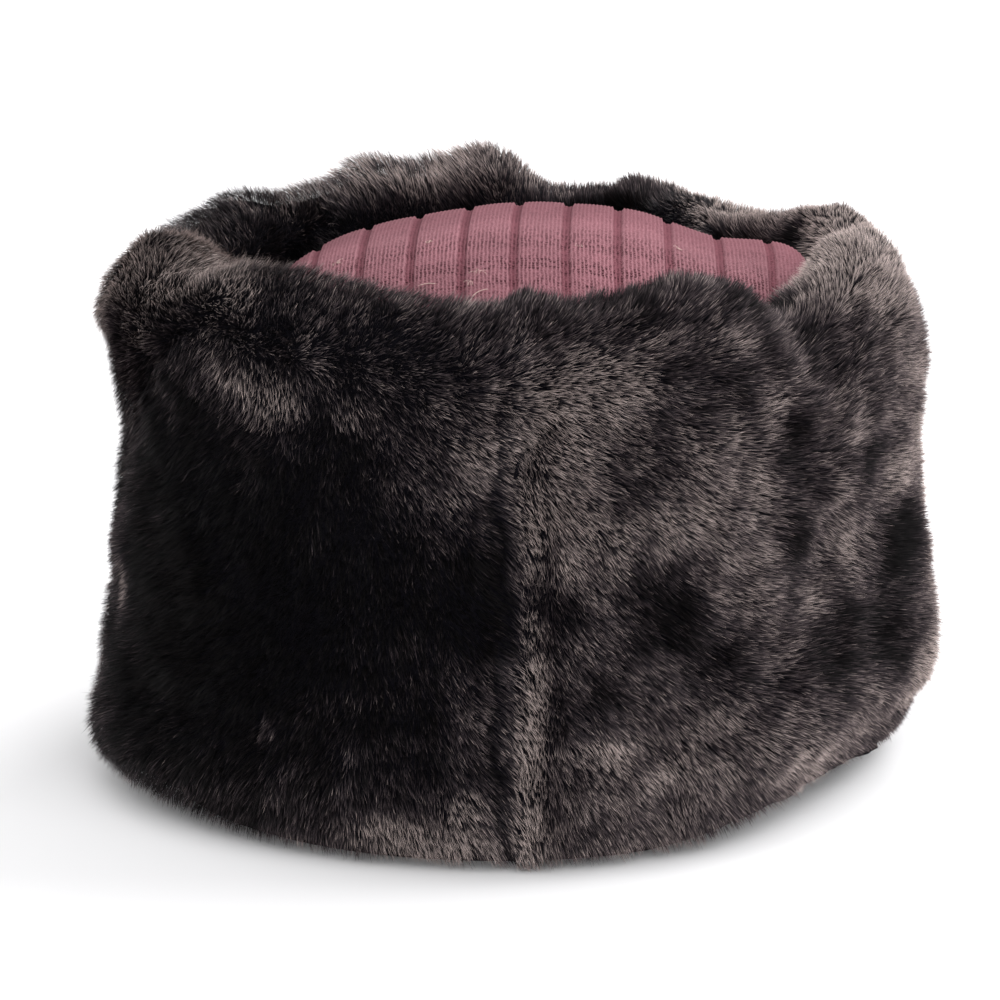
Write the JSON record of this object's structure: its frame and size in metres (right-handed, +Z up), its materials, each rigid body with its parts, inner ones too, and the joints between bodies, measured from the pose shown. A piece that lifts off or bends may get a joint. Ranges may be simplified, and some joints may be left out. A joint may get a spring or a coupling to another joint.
{
  "type": "fur hat",
  "caption": "Tall round winter hat with a deep-pile fur band rolled in over its rim and a ribbed knit crown set inside it.",
  "frame": {"origin": "on the surface that the hem rests on, below the middle of the band", "axes": "+Z up from the hem to the crown, -Y towards the front seam, +X to the right as the front seam is faced"},
  "size_m": [0.2426, 0.2243, 0.1614],
  "materials": {
    "dark_fur": "deep dark brown pile, near black at the roots, with taupe grey tips",
    "rose_knit": "matte dusty rose fine rib knit with darker grooves"
  },
  "bodies": {
    "root": {"fur_panel_right": "dark_fur", "fur_panel_left": "dark_fur", "knit_crown": "rose_knit"}
  },
  "joints": []
}
